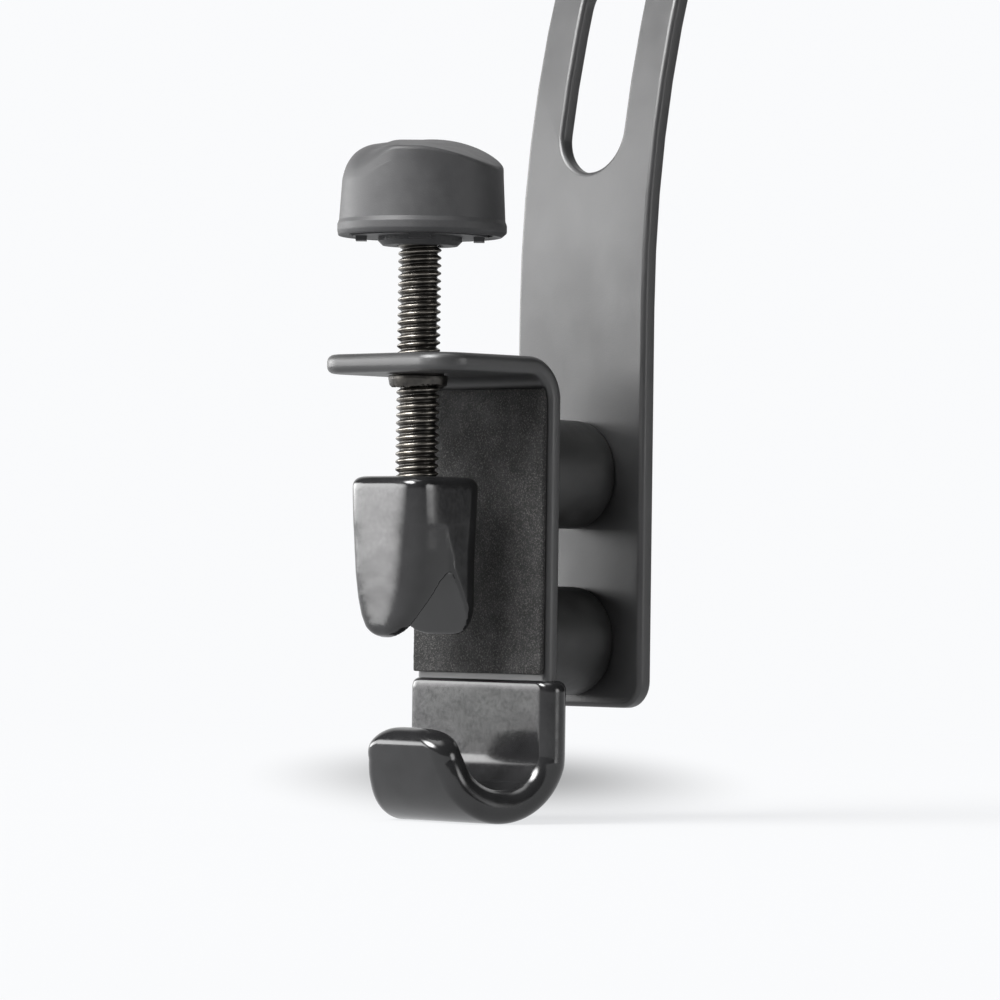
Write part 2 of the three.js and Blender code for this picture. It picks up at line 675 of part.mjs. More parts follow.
add('clamp_bracket', clampBracket, POWDER_COAT);
add('thread_bush', threadBush, BLACK_ZINC);
add('jaw_coating', jawCoating, PVC);
add('foam_pad', foamPad, FOAM);
add('hook_plate', hookPlate, POWDER_COAT);
for (const [place, height] of Object.entries(FASTENER_HEIGHTS)) {
  add(`spacer_${place}`, spacer(height), RUBBER);
  add(`spacer_sleeve_${place}`, sleeve(height), STEEL_BARE);
  add(`screw_${place}`, screw(height), BLACK_ZINC);
  add(`washer_${place}`, washer(height), BLACK_ZINC);
  add(`cap_nut_${place}`, capNut(height), BLACK_ZINC);
}
add('thrust_washer', thrustWasher, STEEL_BARE);
add('saddle_core', saddleCore, STEEL_BARE);
add('saddle_coating', saddleCoating, PVC);
add('spindle', spindle, BLACK_ZINC);
add('retaining_ring', retainingRing, STEEL_BARE);
add('knob_shell', knobShell, KNOB_PLASTIC);
add('knob_base', knobBase, KNOB_PLASTIC);
add('knob_insert', knobInsert, STEEL_BARE);
group.position.set(0, -TUBE.y, -TUBE.z);

export default group;
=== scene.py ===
# Clamp-on headphone hook: the looks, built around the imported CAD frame.
import json
import math

import bmesh
import bpy
from mathutils import Matrix, Vector, noise


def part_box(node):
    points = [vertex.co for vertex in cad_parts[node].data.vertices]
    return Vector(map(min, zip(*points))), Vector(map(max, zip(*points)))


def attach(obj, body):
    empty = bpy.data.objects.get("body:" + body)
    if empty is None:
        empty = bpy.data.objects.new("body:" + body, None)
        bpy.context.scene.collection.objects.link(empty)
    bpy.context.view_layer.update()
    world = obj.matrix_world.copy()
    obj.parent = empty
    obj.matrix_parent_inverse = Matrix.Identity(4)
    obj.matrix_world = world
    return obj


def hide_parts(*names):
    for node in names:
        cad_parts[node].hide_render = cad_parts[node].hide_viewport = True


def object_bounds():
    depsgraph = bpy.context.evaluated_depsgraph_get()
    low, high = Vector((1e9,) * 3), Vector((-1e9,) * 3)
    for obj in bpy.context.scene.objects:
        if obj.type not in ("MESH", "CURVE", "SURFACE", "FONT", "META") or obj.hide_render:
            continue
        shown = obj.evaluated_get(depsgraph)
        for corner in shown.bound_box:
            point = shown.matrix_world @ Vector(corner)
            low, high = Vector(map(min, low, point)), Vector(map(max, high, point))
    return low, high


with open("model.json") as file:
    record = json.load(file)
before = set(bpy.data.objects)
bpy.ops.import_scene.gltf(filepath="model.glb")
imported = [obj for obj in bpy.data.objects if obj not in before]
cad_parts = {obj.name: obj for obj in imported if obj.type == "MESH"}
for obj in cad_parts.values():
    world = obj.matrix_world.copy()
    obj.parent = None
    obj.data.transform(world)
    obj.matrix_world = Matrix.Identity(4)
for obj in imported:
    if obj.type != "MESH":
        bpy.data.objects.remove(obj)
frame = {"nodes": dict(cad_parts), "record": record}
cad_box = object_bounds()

# ---------------------------------------------------------------- places and sizes
# Pieces are drawn in millimetres from the spindle's axis and the top of the clamp, as the
# design is, and placed in the frame's metres by their vertices.
MM = 0.001
spindle_low, spindle_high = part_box("spindle")
bracket_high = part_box("clamp_bracket")[1]
DATUM = Vector((0, (spindle_low.y + spindle_high.y) / 2, bracket_high.z))


def node_box(name):
    """A CAD node's corners, in millimetres from the datum."""
    low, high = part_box(name)
    return (low - DATUM) / MM, (high - DATUM) / MM


STEEL = 3.5
STRIP_WIDTH = 34
TOP_REACH = 10.6
TOP_CORNER = 6.5
STRIP_BACK = 20.7
TOP_BEND = 6.25
JAW_BEND = 8.85
JAW_BEND_HEIGHT = -73
JAW_BEND_DEGREES = 162
LIP_LENGTH = 6.4
LIP_WIDTH = 17
LIP_CORNER = 3.5
TAPER_DELAY = 1.5
TAPER_LENGTH = 23.2
COATING_TOP = -59.2
BUSH_HOLE = 9.8

PLATE_WIDTH = 33
PLATE_FRONT = node_box("hook_plate")[0].y
PLATE_BOTTOM = node_box("hook_plate")[0].z
PLATE_CORNER = 5
LEAN_START = 10.3
LEAN_RADIUS = 218.25
LEAN_DEGREES = 17
CREST_RADIUS = 24
ARM_LENGTH = 24
END_RADIUS = 11
END_DEGREES = 70
END_LENGTH = 6
END_CORNER = 9
SLOT_WIDTH = 15.7
SLOT_BOTTOM = 36.2
SLOT_TOP = 76

THREAD_PITCH = 25.4 / 18
THREAD_RADIUS = 7.94 / 2
THREAD_DEPTH = 0.72


# ---------------------------------------------------------------- mesh helpers
# A bound that nothing here reaches.
NO_LIMIT = 99


def new_object(name, mesh):
    piece = bpy.data.objects.new(name, mesh)
    bpy.context.scene.collection.objects.link(piece)
    return piece


def piece_from_bmesh(name, bm, place=True):
    """A bmesh drawn in millimetres from the datum becomes a piece in the frame."""
    bmesh.ops.recalc_face_normals(bm, faces=bm.faces)
    if place:
        bmesh.ops.scale(bm, vec=(MM, MM, MM), verts=bm.verts)
        bmesh.ops.translate(bm, vec=DATUM, verts=bm.verts)
    mesh = bpy.data.meshes.new(name)
    bm.to_mesh(mesh)
    bm.free()
    return new_object(name, mesh)


def smooth(piece, degrees=35):
    """Smooth shading, with edges sharper than an angle kept crisp."""
    mesh = piece.data
    mesh.shade_smooth()
    mesh.set_sharp_from_angle(angle=math.radians(degrees))
    return piece


def apply_modifiers(piece):
    """Puts the modifiers' result in the mesh, so that none is left on the piece."""
    graph = bpy.context.evaluated_depsgraph_get()
    mesh = bpy.data.meshes.new_from_object(
        piece.evaluated_get(graph), preserve_all_data_layers=True, depsgraph=graph)
    piece.modifiers.clear()
    piece.data = mesh
    return piece


def remeshed(piece, voxel_mm, passes):
    """Voxel remesh and smoothing, for the rounded look of something dipped or moulded."""
    remesh = piece.modifiers.new("remesh", "REMESH")
    remesh.mode = "VOXEL"
    remesh.voxel_size = voxel_mm * MM
    soften = piece.modifiers.new("soften", "SMOOTH")
    soften.factor = 0.5
    soften.iterations = passes
    apply_modifiers(piece)
    piece.data.shade_smooth()
    return piece


def copy_of_node(name, piece_name):
    return new_object(piece_name, frame["nodes"][name].data.copy())


def lathe(name, profile, sides, axis="Z", centre=(0, 0, 0), shape=None):
    """A closed [radius, height] profile turned about an axis; shape may move each point."""
    bm = bmesh.new()
    rings = []
    for k in range(sides):
        angle = 2 * math.pi * k / sides
        ring = []
        for radius, height in profile:
            point = Vector((radius * math.cos(angle), radius * math.sin(angle), height))
            if shape:
                point = shape(point, angle)
            if axis == "Y":
                point = Vector((point.x, point.z, -point.y))
            ring.append(bm.verts.new(point + Vector(centre)))
        rings.append(ring)
    count = len(profile)
    for k, ring in enumerate(rings):
        after = rings[(k + 1) % sides]
        for j in range(count):
            i = (j + 1) % count
            bm.faces.new((ring[j], ring[i], after[i], after[j]))
    bmesh.ops.remove_doubles(bm, verts=bm.verts, dist=1e-4)
    return piece_from_bmesh(name, bm)


def rounded(corners, radius, parts):
    """A profile with each [x, y, round] corner rounded; corners without a round use radius."""
    out = []
    count = len(corners)
    for k, corner in enumerate(corners):
        point = Vector(corner[:2])
        r = corner[2] if len(corner) > 2 else radius
        before = Vector(corners[k - 1][:2]) - point
        after = Vector(corners[(k + 1) % count][:2]) - point
        if r <= 0 or before.length < 1e-6 or after.length < 1e-6:
            out.append(tuple(point))
            continue
        half = before.angle(after) / 2
        reach = min(r / math.tan(half), before.length * 0.49, after.length * 0.49)
        start = point + before.normalized() * reach
        end = point + after.normalized() * reach
        for j in range(parts + 1):
            t = j / parts
            a = start.lerp(point, t)
            b = point.lerp(end, t)
            out.append(tuple(a.lerp(b, t)))
    return out


# ---------------------------------------------------------------- bent sheet metal
BEND_STEP_DEGREES = 4.0
STRAIGHT_STEP = 12.0


class BentPath:
    """A line in the YZ plane made of straights and bends; headings are degrees from +Y."""

    def __init__(self, start, heading, steps):
        self.parts = []
        y, z = start
        angle = math.radians(heading)
        length = 0.0
        for step in steps:
            if "straight" in step:
                run, radius, turn = step["straight"], None, 0.0
            else:
                turn = math.radians(step["bend"])
                radius = step["radius"]
                run = radius * abs(turn)
            self.parts.append((length, run, radius, turn, y, z, angle))
            y, z, angle = self._end(y, z, angle, run, radius, turn)
            length += run
        self.length = length

    @staticmethod
    def _end(y, z, angle, run, radius, turn):
        if radius is None:
            return y + math.cos(angle) * run, z + math.sin(angle) * run, angle
        chord = 2 * radius * math.sin(abs(turn) / 2)
        middle = angle - turn / 2
        return y + math.cos(middle) * chord, z + math.sin(middle) * chord, angle - turn

    def at(self, s):
        """(y, z, heading) at a length along the path."""
        for begin, run, radius, turn, y, z, angle in reversed(self.parts):
            if s >= begin or begin == 0:
                part = s - begin
                if radius is None:
                    return self._end(y, z, angle, part, None, 0)
                if part > run:
                    y, z, angle = self._end(y, z, angle, run, radius, turn)
                    return self._end(y, z, angle, part - run, None, 0)
                return self._end(y, z, angle, part, radius, turn * part / run)

    def cuts(self):
        """Lengths where a sheet needs a line across it to follow the bends."""
        marks = []
        for begin, run, radius, turn, *_ in self.parts:
            if radius is None:
                count = max(1, math.ceil(run / STRAIGHT_STEP))
            else:
                count = max(2, math.ceil(abs(math.degrees(turn)) / BEND_STEP_DEGREES))
                count = max(count, math.ceil(run / STRAIGHT_STEP))
            marks += [begin + run * k / count for k in range(count)]
        return marks[1:]


def arc_points(centre, radius, start, end, parts):
    """Points on an arc, in degrees, both ends included."""
    return [(centre[0] + radius * math.cos(math.radians(start + (end - start) * k / parts)),
             centre[1] + radius * math.sin(math.radians(start + (end - start) * k / parts)))
            for k in range(parts + 1)]


def bent_sheet(name, path, outline, holes, thickness, edge):
    """A flat blank with holes and rounded edges, bent along a path."""
    bm = bmesh.new()
    for loop in [outline, *holes]:
        verts = [bm.verts.new((x, s, 0)) for x, s in loop]
        for k, vert in enumerate(verts):
            bm.edges.new((vert, verts[(k + 1) % len(verts)]))
    bmesh.ops.triangle_fill(bm, use_beauty=True, edges=bm.edges)
    bmesh.ops.dissolve_limit(bm, angle_limit=0.001, verts=bm.verts, edges=bm.edges)
    bottom = list(bm.faces)
    top = bmesh.ops.extrude_face_region(bm, geom=bottom)
    lifted = [g for g in top["geom"] if isinstance(g, bmesh.types.BMVert)]
    bmesh.ops.translate(bm, vec=(0, 0, thickness), verts=lifted)
    bmesh.ops.recalc_face_normals(bm, faces=bm.faces)
    rims = [e for e in bm.edges if len(e.link_faces) == 2
            and abs(e.link_faces[0].normal.z) + abs(e.link_faces[1].normal.z) > 0.9
            and abs(e.link_faces[0].normal.dot(e.link_faces[1].normal)) < 0.1]
    bmesh.ops.bevel(bm, geom=rims, offset=edge, segments=4, profile=0.5, affect="EDGES",
                    clamp_overlap=False)
    for mark in path.cuts():
        everything = [*bm.verts, *bm.edges, *bm.faces]
        bmesh.ops.bisect_plane(bm, geom=everything, dist=1e-5,
                               plane_co=(0, mark, 0), plane_no=(0, 1, 0))
    for vert in bm.verts:
        x, s, n = vert.co
        y, z, heading = path.at(s)
        n -= thickness / 2
        vert.co = (x, y - math.sin(heading) * n, z + math.cos(heading) * n)
    piece = piece_from_bmesh(name, bm)
    piece.data.shade_smooth()
    weighted = piece.modifiers.new("weighted", "WEIGHTED_NORMAL")
    weighted.keep_sharp = True
    return apply_modifiers(piece)


def smoothstep(value, low, high):
    t = min(max((value - low) / (high - low), 0), 1)
    return t * t * (3 - 2 * t)


def corner_inset(distance, radius):
    if distance >= radius:
        return 0
    run = radius - max(distance, 0)
    return radius - math.sqrt(max(radius * radius - run * run, 0))


def strip_outline(half_width, lengths):
    """The outline of a strip whose half width varies along it, from its two sides."""
    right = [(half_width(s), s) for s in lengths]
    left = [(-x, s) for x, s in reversed(right)]
    return right + left


def corner_lengths(start, radius, direction, parts=10):
    """Lengths along a strip that catch a round corner at its end."""
    return [start + direction * radius * (1 - math.cos(math.pi / 2 * k / parts))
            for k in range(parts + 1)]


# ---------------------------------------------------------------- materials
def material(name, colour, roughness, metallic=0.0, ior=1.5):
    made = bpy.data.materials.new(name)
    made.use_nodes = True
    shader = made.node_tree.nodes["Principled BSDF"]
    shader.inputs["Base Color"].default_value = (*colour, 1)
    shader.inputs["Roughness"].default_value = roughness
    shader.inputs["Metallic"].default_value = metallic
    shader.inputs["IOR"].default_value = ior
    return made


def shader_of(made):
    return made.node_tree.nodes["Principled BSDF"]


def add_node(made, kind, **values):
    node = made.node_tree.nodes.new(kind)
    for key, value in values.items():
        if key in node.inputs:
            node.inputs[key].default_value = value
        else:
            setattr(node, key, value)
    return node


def link(made, source, target):
    made.node_tree.links.new(source, target)


def grain(made, cell_mm, detail=2.0, rough=0.5):
    """A noise pattern in the piece's own space, with cells of a size in millimetres."""
    place = add_node(made, "ShaderNodeTexCoord")
    pattern = add_node(made, "ShaderNodeTexNoise", Scale=1 / (cell_mm * MM), Detail=detail,
                       Roughness=rough)
    link(made, place.outputs["Object"], pattern.inputs["Vector"])
    return pattern.outputs["Fac"]


def ramp(made, source, stops):
    """A colour ramp over a pattern: stops are (position, colour or grey)."""
    node = add_node(made, "ShaderNodeValToRGB")
    elements = node.color_ramp.elements
    while len(elements) < len(stops):
        elements.new(0.5)
    for element, (position, value) in zip(elements, stops):
        element.position = position
        element.color = (*value, 1) if isinstance(value, tuple) else (value, value, value, 1)
    link(made, source, node.inputs["Fac"])
    return node.outputs["Color"]


def spread(made, source, low, high):
    """Maps a pattern's usual span, 0.3 to 0.7, to a range."""
    node = add_node(made, "ShaderNodeMapRange")
    node.inputs["From Min"].default_value = 0.3
    node.inputs["From Max"].default_value = 0.7
    node.inputs["To Min"].default_value = low
    node.inputs["To Max"].default_value = high
    link(made, source, node.inputs["Value"])
    return node.outputs["Result"]


def bump(made, *layers):
    """Stacks bump layers of (pattern, height in millimetres) on the shader's normal."""
    normal = None
    for pattern, height_mm in layers:
        node = add_node(made, "ShaderNodeBump", Strength=1.0)
        node.inputs["Distance"].default_value = height_mm * MM
        link(made, pattern, node.inputs["Height"])
        if normal:
            link(made, normal, node.inputs["Normal"])
        normal = node.outputs["Normal"]
    link(made, normal, shader_of(made).inputs["Normal"])


def powder_coat():
    made = material("powder_coat", (0.02, 0.02, 0.0205), 0.42)
    fine = grain(made, 0.35, detail=3.0)
    broad = grain(made, 6.0, detail=3.0)
    link(made, ramp(made, broad, [(0.3, (0.02, 0.02, 0.0205)), (0.7, (0.026, 0.026, 0.0265))]),
         shader_of(made).inputs["Base Color"])
    link(made, spread(made, broad, 0.37, 0.44), shader_of(made).inputs["Roughness"])
    bump(made, (broad, 0.02), (fine, 0.012))
    return made


def dipped_pvc():
    made = material("dipped_pvc", (0.01, 0.01, 0.0104), 0.15)
    waves = grain(made, 5.0, detail=1.0)
    fine = grain(made, 0.8, detail=2.0)
    link(made, ramp(made, waves, [(0.3, (0.008, 0.008, 0.0083)), (0.7, (0.012, 0.012, 0.0125))]),
         shader_of(made).inputs["Base Color"])
    link(made, spread(made, fine, 0.12, 0.19), shader_of(made).inputs["Roughness"])
    bump(made, (waves, 0.03), (fine, 0.002))
    return made


def foam_skin():
    made = material("foam", (0.02, 0.0195, 0.0195), 0.95)
    cells = grain(made, 0.27, detail=3.0, rough=0.6)
    broad = grain(made, 4.0)
    link(made, ramp(made, cells, [(0.4, (0.0015, 0.0015, 0.0015)), (0.53, (0.006, 0.0058, 0.0057)),
                                  (0.7, (0.055, 0.053, 0.051))]),
         shader_of(made).inputs["Base Color"])
    link(made, spread(made, broad, 0.85, 1.0), shader_of(made).inputs["Roughness"])
    bump(made, (cells, 0.25))
    return made


def black_zinc():
    """Dark plating with crests painted brighter, as wear and as a painted highlight, by distance from
    the axis.
    """
    made = material("black_zinc", (0.07, 0.066, 0.062), 0.36, metallic=1.0)
    broad = grain(made, 1.5, detail=4.0)
    fine = grain(made, 0.25, detail=2.0)
    place = add_node(made, "ShaderNodeTexCoord")
    across = add_node(made, "ShaderNodeVectorMath", operation="SUBTRACT")
    across.inputs[1].default_value = (0, DATUM.y, 0)
    flat = add_node(made, "ShaderNodeVectorMath", operation="MULTIPLY")
    flat.inputs[1].default_value = (1, 1, 0)
    reach = add_node(made, "ShaderNodeVectorMath", operation="LENGTH")
    link(made, place.outputs["Object"], across.inputs[0])
    link(made, across.outputs["Vector"], flat.inputs[0])
    link(made, flat.outputs["Vector"], reach.inputs[0])
    scaled = add_node(made, "ShaderNodeMath", operation="DIVIDE")
    scaled.inputs[1].default_value = 2 * THREAD_RADIUS * MM
    link(made, reach.outputs["Value"], scaled.inputs[0])
    # Painted highlight and wear on the crests: a brighter colour where the radius reaches the crest,
    # in patches.
    crest = ramp(made, scaled.outputs["Value"], [(0.44, 0.0), (0.5, 1.0), (0.53, 0.0)])
    crest_wear_and_highlight = add_node(made, "ShaderNodeMath", operation="MULTIPLY")
    link(made, crest, crest_wear_and_highlight.inputs[0])
    link(made, spread(made, broad, 0.1, 1.0), crest_wear_and_highlight.inputs[1])
    colour = add_node(made, "ShaderNodeMix", data_type="RGBA")
    link(made, crest_wear_and_highlight.outputs["Value"], colour.inputs["Factor"])
    link(made, ramp(made, broad, [(0.3, (0.045, 0.043, 0.041)), (0.7, (0.085, 0.08, 0.073))]),
         colour.inputs["A"])
    colour.inputs["B"].default_value = (0.3, 0.28, 0.25, 1)
    link(made, colour.outputs["Result"], shader_of(made).inputs["Base Color"])
    link(made, spread(made, fine, 0.28, 0.44), shader_of(made).inputs["Roughness"])
    bump(made, (fine, 0.01))
    return made


def moulded_rubber():
    made = material("rubber", (0.028, 0.027, 0.028), 0.55)
    broad = grain(made, 5.0, detail=5.0, rough=0.6)
    fine = grain(made, 0.3, detail=3.0)
    link(made, ramp(made, broad, [(0.35, (0.009, 0.009, 0.009)), (0.6, (0.015, 0.015, 0.015)),
                                  (0.8, (0.03, 0.03, 0.029))]),
         shader_of(made).inputs["Base Color"])
    link(made, spread(made, broad, 0.45, 0.66), shader_of(made).inputs["Roughness"])
    bump(made, (broad, 0.05), (fine, 0.015))
    return made


def knob_plastic():
    made = material("knob_plastic", (0.03, 0.03, 0.031), 0.5, ior=1.37)
    broad = grain(made, 4.0, detail=5.0, rough=0.6)
    fine = grain(made, 0.22, detail=2.0)
    link(made, ramp(made, broad, [(0.3, (0.026, 0.026, 0.027)), (0.6, (0.033, 0.033, 0.034)),
                                  (0.8, (0.043, 0.043, 0.044))]),
         shader_of(made).inputs["Base Color"])
    link(made, spread(made, broad, 0.46, 0.56), shader_of(made).inputs["Roughness"])
    bump(made, (broad, 0.03), (fine, 0.02))
    return made


def plain_steel():
    made = material("plain_steel", (0.5, 0.5, 0.49), 0.35, metallic=1.0)
    broad = grain(made, 2.0, detail=4.0)
    link(made, spread(made, broad, 0.25, 0.5), shader_of(made).inputs["Roughness"])
    bump(made, (broad, 0.01))
    return made


FINISHES = {
    "powder_coat": powder_coat(),
    "pvc_dip": dipped_pvc(),
    "foam": foam_skin(),
    "black_zinc": black_zinc(),
    "rubber": moulded_rubber(),
    "knob_plastic": knob_plastic(),
    "bare_steel": plain_steel(),
}


def finish_piece(piece, slot, body, *nodes):
    """Gives a piece its finish, and says what it rides on and which CAD nodes it stands for."""
    piece.data.materials.clear()
    piece.data.materials.append(FINISHES[slot])
    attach(piece, body)
    if nodes:
        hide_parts(*nodes)


# ---------------------------------------------------------------- clamp strip
clamp_path = BentPath((-TOP_REACH, -STEEL / 2), 0, [
    {"straight": TOP_REACH + STRIP_BACK - STEEL / 2 - TOP_BEND},
    {"radius": TOP_BEND, "bend": 90},
    {"straight": -JAW_BEND_HEIGHT - STEEL / 2 - TOP_BEND},
    {"radius": JAW_BEND, "bend": JAW_BEND_DEGREES},
    {"straight": LIP_LENGTH},
])
jaw_start = clamp_path.parts[3][0]
TAPER_POWER = 1.25
TAPER_PARTS = 14
CORNER_MARGIN = 5
STRIP_EDGE = 1.3
HOLE_SIDES = 48


def clamp_half_width(s):
    share = min(max((s - jaw_start - TAPER_DELAY) / TAPER_LENGTH, 0), 1) ** TAPER_POWER
    half = (STRIP_WIDTH + (LIP_WIDTH - STRIP_WIDTH) * share) / 2
    return half - corner_inset(s, TOP_CORNER) - corner_inset(clamp_path.length - s, LIP_CORNER)


def build_clamp_strip():
    end = clamp_path.length
    lengths = corner_lengths(0, TOP_CORNER, 1)
    lengths += [TOP_CORNER + CORNER_MARGIN, jaw_start]
    count = TAPER_PARTS
    lengths += [jaw_start + (end - LIP_CORNER - jaw_start) * k / count for k in range(1, count)]
    lengths += list(reversed(corner_lengths(end, LIP_CORNER, -1)))
    bush_hole = arc_points((0, TOP_REACH), BUSH_HOLE / 2, 0, 360 - 360 / HOLE_SIDES,
                           HOLE_SIDES - 1)
    strip = bent_sheet("clamp_strip", clamp_path, strip_outline(clamp_half_width, lengths),
                       [bush_hole], STEEL, STRIP_EDGE)
    finish_piece(strip, "powder_coat", "bracket", "clamp_bracket")


# ---------------------------------------------------------------- hook plate
plate_path = BentPath((PLATE_FRONT + STEEL / 2, PLATE_BOTTOM), 90, [
    {"straight": LEAN_START - PLATE_BOTTOM},
    {"radius": LEAN_RADIUS, "bend": LEAN_DEGREES},
    {"radius": CREST_RADIUS, "bend": 90 - LEAN_DEGREES},
    {"straight": ARM_LENGTH},
    {"radius": END_RADIUS, "bend": -END_DEGREES},
    {"straight": END_LENGTH},
])
PLATE_EDGE = 1.0


def plate_half_width(s):
    start = corner_inset(s, PLATE_CORNER)
    end = corner_inset(plate_path.length - s, END_CORNER)
    return PLATE_WIDTH / 2 - start - end


def length_at_height(path, height, low, high):
    """The length along a rising path at which it reaches a height, between two lengths."""
    for _ in range(40):
        middle = (low + high) / 2
        if path.at(middle)[1] < height:
            low = middle
        else:
            high = middle
    return low


def build_hook_plate():
    end = plate_path.length
    lengths = corner_lengths(0, PLATE_CORNER, 1)
    lengths += list(reversed(corner_lengths(end, END_CORNER, -1)))
    crest = plate_path.parts[3][0]
    radius = SLOT_WIDTH / 2
    low = length_at_height(plate_path, SLOT_BOTTOM, 0, crest) + radius
    high = length_at_height(plate_path, SLOT_TOP, 0, crest) - radius
    slot = arc_points((0, high), radius, 0, 180, 24) + arc_points((0, low), radius, 180, 360, 24)
    plate = bent_sheet("hook_plate_coated", plate_path, strip_outline(plate_half_width, lengths),
                       [slot], STEEL, PLATE_EDGE)
    finish_piece(plate, "powder_coat", "bracket", "hook_plate")


# ---------------------------------------------------------------- dipped coatings
COAT_INSIDE = 1.0
COAT_OUTSIDE = 1.79
COAT_EDGE = 1.6
COAT_ROUND = 2.9
COAT_TOP_CORNER = 1.8
COAT_TOP_LIP = 0.7
COAT_TAPER_EXTRA = 3
COAT_TAPER_POWER = 1.2
COAT_TAPER_EASE = 0.06
COAT_TIP_DRAW = 1.5
COAT_CORNER_PARTS = 9
COAT_RUN_PARTS = 110
COAT_TIP_PARTS = 18
COAT_LEAST_HALF = 0.3
COAT_LEAST_SHARE = 0.02


def coat_section(half, inside, outside, round_x, round_n):
    """A rounded rectangle across the strip, as (x, distance off the strip's middle)."""
    ring = []
    corners = ((1, outside - round_n), (-1, outside - round_n),
               (-1, round_n - inside), (1, round_n - inside))
    for quarter, (side, level) in enumerate(corners):
        for k in range(COAT_CORNER_PARTS + 1):
            angle = math.radians(90 * (quarter + k / COAT_CORNER_PARTS))
            ring.append((side * (half - round_x) + round_x * math.cos(angle),
                         level + round_n * math.sin(angle)))
    return ring


def coat_half_width(s):
    """The coat's taper runs on into the lip, more gently than the steel's."""
    share = min(max((s - jaw_start - TAPER_DELAY) / (TAPER_LENGTH + COAT_TAPER_EXTRA), 0), 1)
    share = share ** COAT_TAPER_POWER - COAT_TAPER_EASE * smoothstep(share, 0.8, 1)
    return (STRIP_WIDTH + (LIP_WIDTH - STRIP_WIDTH) * share) / 2


def build_jaw_coating():
    """The coat is swept along the J: it thins to a lip at its top, and rounds off at the tip."""
    jaw_top = clamp_path.parts[2][0] - TOP_BEND - STEEL / 2 - COATING_TOP
    end = clamp_path.length + COAT_EDGE
    tip = LIP_CORNER + COAT_EDGE
    straight_start = jaw_top + COAT_TOP_CORNER
    run = end - tip - straight_start
    lengths = corner_lengths(jaw_top, COAT_TOP_CORNER, 1, 8)
    count = COAT_RUN_PARTS
    lengths += [straight_start + run * k / count for k in range(1, count)]
    lengths += [end - tip * (1 - math.sin(math.pi / 2 * k / COAT_TIP_PARTS))
                for k in range(COAT_TIP_PARTS + 1)]
    bm = bmesh.new()
    rings = []
    for s in lengths:
        y, z, heading = clamp_path.at(s)
        lip = corner_inset(s - jaw_top, COAT_TOP_LIP)
        thin = corner_inset(end - s, COAT_ROUND)
        half = coat_half_width(s) + COAT_EDGE - COAT_TIP_DRAW * corner_inset(end - s, tip)
        half -= corner_inset(s - jaw_top, COAT_TOP_CORNER)
        inside = STEEL / 2 + COAT_INSIDE - lip
        outside = STEEL / 2 + COAT_OUTSIDE - lip
        flatten = max((inside + outside - 2 * thin) / (inside + outside), COAT_LEAST_SHARE)
        narrow = max(half, COAT_LEAST_HALF) / max(half, COAT_ROUND)
        middle = (outside - inside) / 2
        section = coat_section(max(half, COAT_ROUND), inside, outside, COAT_ROUND,
                               min(COAT_ROUND, (inside + outside) / 2))
        ring = []
        for x, n in section:
            n = middle + (n - middle) * flatten
            ring.append(bm.verts.new((x * narrow, y - math.sin(heading) * n,
                                      z + math.cos(heading) * n)))
        rings.append(ring)
    size = len(rings[0])
    for before, after in zip(rings, rings[1:]):
        for j in range(size):
            i = (j + 1) % size
            bm.faces.new((before[j], before[i], after[i], after[j]))
    bm.faces.new(rings[0])
    bm.faces.new(list(reversed(rings[-1])))
    coat = smooth(piece_from_bmesh("jaw_coating_dipped", bm), 60)
    finish_piece(coat, "pvc_dip", "bracket", "jaw_coating")


SADDLE_HALF = 9.6
SADDLE_FRONT = 9.3
SADDLE_BACK = 8.6
SADDLE_TOP_ROUND = 1.8
SADDLE_BOTTOM = node_box("saddle_coating")[0].z
SADDLE_PARTS = 60
SECTION_POINTS = 120
NOTCH_APEX = -39.4
NOTCH_APEX_Y = 0.2
BLOCK_END = NOTCH_APEX + 8
ARMS_START = -28
HEEL_SLOPE_DEPTH = 6.4
HEEL_RISE = 0.7
HEEL_CORNER = 5.5
HEEL_OVERLAP = 1.7
TONGUE_TIP_ROUND = 2
SADDLE_BORE_RADIUS = 4.3
SADDLE_BORE_END = -38
SADDLE_BORE_LENGTH = 20
# How far back the notch cuts the tongue, and the tongue's half width, each by height.
NOTCH_FRONT = ((NOTCH_APEX, NOTCH_APEX_Y), (-41.4, -1.9), (-45.1, -4.1), (-47.3, -5.4),
               (-49.5, -6.2), (SADDLE_BOTTOM, -6.8))
TONGUE_HALF = ((-30, 9.6), (-36, 9.4), (-40, 9.0), (-44.4, 8.1), (-47.7, 6.9), (-49.8, 5.4),
               (-51, 3.6), (SADDLE_BOTTOM, 1.6))


def follow(value, table):
    """Reads a value off a table of (height, value) rows, straight between them."""
    if value >= table[0][0]:
        return table[0][1]
    for (high, a), (low, b) in zip(table, table[1:]):
        if value >= low:
            return b + (a - b) * (value - low) / (high - low)
    return table[-1][1]


def barrel(half, near, far, power, cut_near=-NO_LIMIT, cut_far=NO_LIMIT):
    """A plan section between a box and an oval, with what lies past either cut taken off."""
    middle = (near + far) / 2
    room = (far - near) / 2
    ring = []
    for k in range(SECTION_POINTS):
        angle = 2 * math.pi * (k + 0.5) / SECTION_POINTS
        x, y = math.cos(angle), math.sin(angle)
        x = math.copysign(abs(x) ** (2 / power), x) * half
        y = middle + math.copysign(abs(y) ** (2 / power), y) * room
        ring.append((x, min(max(y, cut_near), cut_far)))
    return ring


def squareness(z):
    """The saddle is squarer in plan at its top than at its tongue."""
    return 5.2 - 1.2 * smoothstep(-z, 22, 38)


def loft(bm, sections):
    """Skins closed sections, each a list of (x, y) points at a height, and caps both ends."""
    rings = [[bm.verts.new((x, y, z)) for x, y in ring] for z, ring in sections]
    for before, after in zip(rings, rings[1:]):
        for k in range(len(before)):
            j = (k + 1) % len(before)
            bm.faces.new((before[k], before[j], after[j], after[k]))
    bm.faces.new(rings[0])
    bm.faces.new(list(reversed(rings[-1])))


